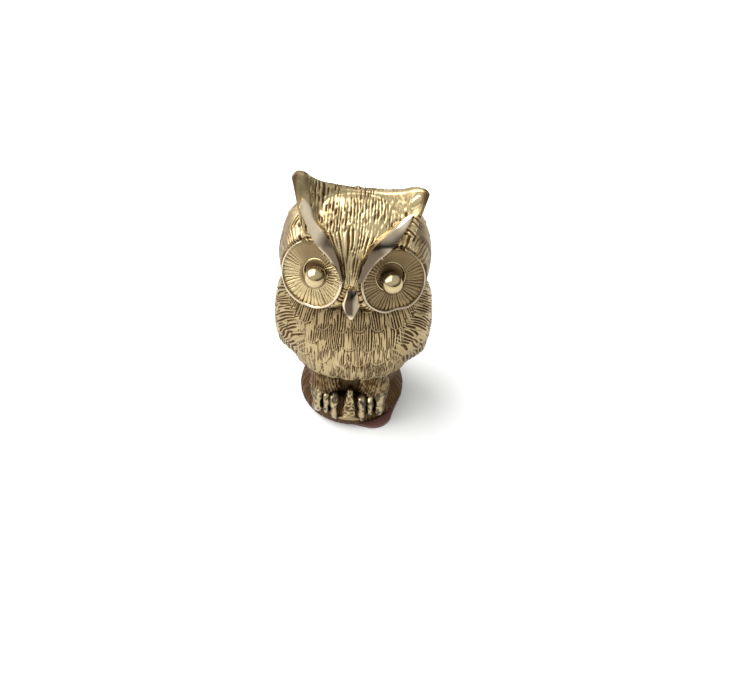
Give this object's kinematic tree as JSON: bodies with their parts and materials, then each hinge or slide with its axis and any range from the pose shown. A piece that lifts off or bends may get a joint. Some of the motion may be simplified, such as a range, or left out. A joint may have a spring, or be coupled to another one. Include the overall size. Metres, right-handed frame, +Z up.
{
  "type": "owl figurine",
  "caption": "Small hollow cast owl with ear tufts, round eye discs, ball eyes, a hooked beak and folded wings, perched on a round base with a felt pad.",
  "frame": {"origin": "centre of the round base at the level that the owl stands on, the underside of its felt pad", "axes": "+Z up from the base to the ears, -Y the way the owl faces, +X to the owl's own left"},
  "size_m": [0.0368, 0.0307, 0.0662],
  "materials": {
    "textured_plate": "pale gold plate over a chased casting, dark in the recesses",
    "polished_plate": "pale gold plate, polished",
    "sheet_brass": "rolled sheet, plain",
    "screw_steel": "plain zinc",
    "felt": "pressed wool felt, matt"
  },
  "bodies": {
    "root": {"front_body_shell": "textured_plate", "rear_body_shell": "textured_plate", "left_wing": "textured_plate", "right_wing": "textured_plate", "face_casting": "textured_plate", "back_of_head": "textured_plate", "perch_base": "textured_plate", "left_eye_ball": "polished_plate", "right_eye_ball": "polished_plate", "left_eye_bezel": "polished_plate", "right_eye_bezel": "polished_plate", "beak": "polished_plate", "left_foot": "polished_plate", "right_foot": "polished_plate", "base_plate": "sheet_brass", "base_screw": "screw_steel", "felt_pad": "felt"}
  },
  "joints": []
}
